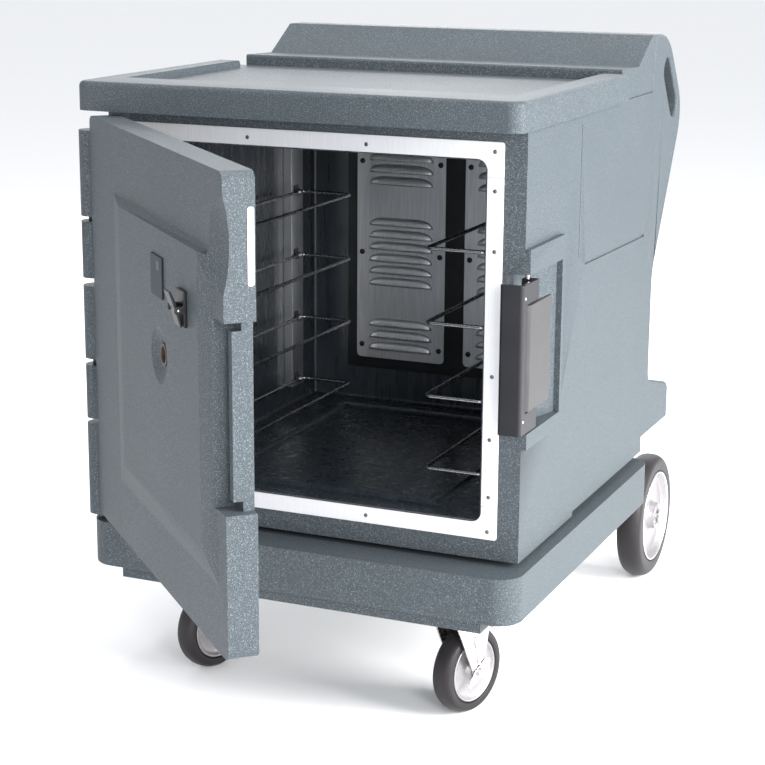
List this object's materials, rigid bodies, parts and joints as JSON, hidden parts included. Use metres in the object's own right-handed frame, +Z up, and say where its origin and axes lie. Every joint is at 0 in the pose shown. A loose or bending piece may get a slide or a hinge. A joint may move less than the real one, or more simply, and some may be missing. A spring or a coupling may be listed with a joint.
{
  "type": "insulated food carrier",
  "caption": "Heated insulated food carrier: moulded cabinet with a hinged latching door, pan racks, fan heater behind louvred panels, push handle, swivel casters, large rear wheels",
  "frame": {"origin": "middle of the footprint's bounding box, on the floor, with the door standing open at its rest angle", "axes": "+Z up, +Y from the door towards the push handle, +X to the right of someone who faces the door"},
  "size_m": [0.8, 1.6276, 1.121],
  "materials": {
    "moulded_shell": "speckled grey-blue moulded polyethylene with a fine grain",
    "insulating_foam": "closed-cell foam, unseen",
    "cavity_lining": "smooth moulded polyethylene",
    "trim_aluminium": "satin anodised",
    "steel": "brushed and zinc-plated",
    "wire": "plated wire",
    "black_fittings": "black moulded nylon, slight sheen",
    "tyre": "dark grey non-marking rubber",
    "hub": "grey discs",
    "seal": "soft black rubber"
  },
  "bodies": {
    "cabinet": {"base_moulding": "moulded_shell", "body_shell": "moulded_shell", "foam_core": "insulating_foam", "cavity_liner": "cavity_lining", "worktop_lid": "moulded_shell", "rear_upstand": "moulded_shell", "trim_top": "trim_aluminium", "trim_bottom": "trim_aluminium", "trim_left": "trim_aluminium", "trim_right": "trim_aluminium", "plenum_frame": "black_fittings", "fan_motor": "steel", "heating_element": "wire", "control_plate": "black_fittings", "louvre_panel_left": "steel", "louvre_panel_right": "steel", "rear_axle_frame": "steel", "caster_plate_left": "steel", "caster_plate_right": "steel", "hinge_pin_upper": "black_fittings", "hinge_pin_middle": "black_fittings", "hinge_pin_lower": "black_fittings", "latch_pin": "steel", "rack_left_1": "wire", "rack_left_2": "wire", "rack_left_3": "wire", "rack_left_4": "wire", "rack_right_1": "wire", "rack_right_2": "wire", "rack_right_3": "wire", "rack_right_4": "wire", "rack_upright_left_front": "steel", "rack_upright_left_rear": "steel", "rack_upright_right_front": "steel", "rack_upright_right_rear": "steel"},
    "door": {"door_shell": "moulded_shell", "door_foam": "insulating_foam", "door_liner": "cavity_lining", "door_gasket": "seal", "door_gauge": "black_fittings", "menu_clip_base": "black_fittings", "vent_plug": "seal"},
    "menu_clip_jaw": {"menu_clip_jaw": "black_fittings"},
    "latch": {"latch_arm": "black_fittings", "latch_paddle": "black_fittings"},
    "fan": {"fan_impeller": "steel"},
    "thermostat": {"thermostat_dial": "black_fittings"},
    "power_rocker": {"power_switch": "black_fittings"},
    "swivel_left": {"caster_fork_left": "steel"},
    "front_wheel_left": {"caster_hub_left": "hub", "caster_tyre_left": "tyre"},
    "brake_left": {"caster_brake_left": "steel"},
    "rear_wheel_left": {"rear_rim_left": "hub", "rear_tyre_left": "tyre"},
    "swivel_right": {"caster_fork_right": "steel"},
    "front_wheel_right": {"caster_hub_right": "hub", "caster_tyre_right": "tyre"},
    "brake_right": {"caster_brake_right": "steel"},
    "rear_wheel_right": {"rear_rim_right": "hub", "rear_tyre_right": "tyre"}
  },
  "joints": [
    {"name": "door_hinge", "type": "hinge", "parent": "cabinet", "child": "door", "pos_m": [-0.379, -0.26417, 0.66], "axis": [0, 0, -1], "range_deg": [-44.8, 215]},
    {"name": "menu_clip_hinge", "type": "hinge", "parent": "door", "child": "menu_clip_jaw", "pos_m": [0.03556, -0.72376, 0.8], "axis": [-0.7096, 0.7046, 0], "range_deg": [0, 12], "stiffness_Nm_per_rad": 0.6, "springref_deg": -5.73},
    {"name": "latch_hinge", "type": "hinge", "parent": "cabinet", "child": "latch", "pos_m": [0.377, -0.19617, 0.6585], "axis": [0, 0, 1], "range_deg": [0, 28], "stiffness_Nm_per_rad": 0.8, "springref_deg": -5.73},
    {"name": "fan_shaft", "type": "hinge", "parent": "cabinet", "child": "fan", "pos_m": [0.006, 0.45883, 0.8], "axis": [0, 1, 0], "continuous": true},
    {"name": "thermostat_turn", "type": "hinge", "parent": "cabinet", "child": "thermostat", "pos_m": [-0.054, 0.53283, 0.556], "axis": [0, -1, 0], "range_deg": [0, 270]},
    {"name": "power_rocker_tip", "type": "hinge", "parent": "cabinet", "child": "power_rocker", "pos_m": [0.046, 0.52413, 0.556], "axis": [1, 0, 0], "range_deg": [-8, 8]},
    {"name": "caster_swivel_left", "type": "hinge", "parent": "cabinet", "child": "swivel_left", "pos_m": [-0.246, -0.16417, 0.18], "axis": [0, 0, 1], "continuous": true},
    {"name": "front_axle_left", "type": "hinge", "parent": "swivel_left", "child": "front_wheel_left", "pos_m": [-0.23511, -0.12986, 0.076], "axis": [0.9532, -0.3024, 0], "continuous": true},
    {"name": "brake_pedal_left", "type": "hinge", "parent": "swivel_left", "child": "brake_left", "pos_m": [-0.22846, -0.10888, 0.164], "axis": [-0.9532, 0.3024, 0], "range_deg": [0, 9]},
    {"name": "rear_axle_left", "type": "hinge", "parent": "cabinet", "child": "rear_wheel_left", "pos_m": [-0.327, 0.68683, 0.127], "axis": [1, 0, 0], "continuous": true},
    {"name": "caster_swivel_right", "type": "hinge", "parent": "cabinet", "child": "swivel_right", "pos_m": [0.25, -0.16417, 0.18], "axis": [0, 0, 1], "continuous": true},
    {"name": "front_axle_right", "type": "hinge", "parent": "swivel_right", "child": "front_wheel_right", "pos_m": [0.26088, -0.12986, 0.076], "axis": [0.9532, -0.3024, 0], "continuous": true},
    {"name": "brake_pedal_right", "type": "hinge", "parent": "swivel_right", "child": "brake_right", "pos_m": [0.26754, -0.10888, 0.164], "axis": [-0.9532, 0.3024, 0], "range_deg": [0, 9]},
    {"name": "rear_axle_right", "type": "hinge", "parent": "cabinet", "child": "rear_wheel_right", "pos_m": [0.339, 0.68683, 0.127], "axis": [1, 0, 0], "continuous": true}
  ]
}
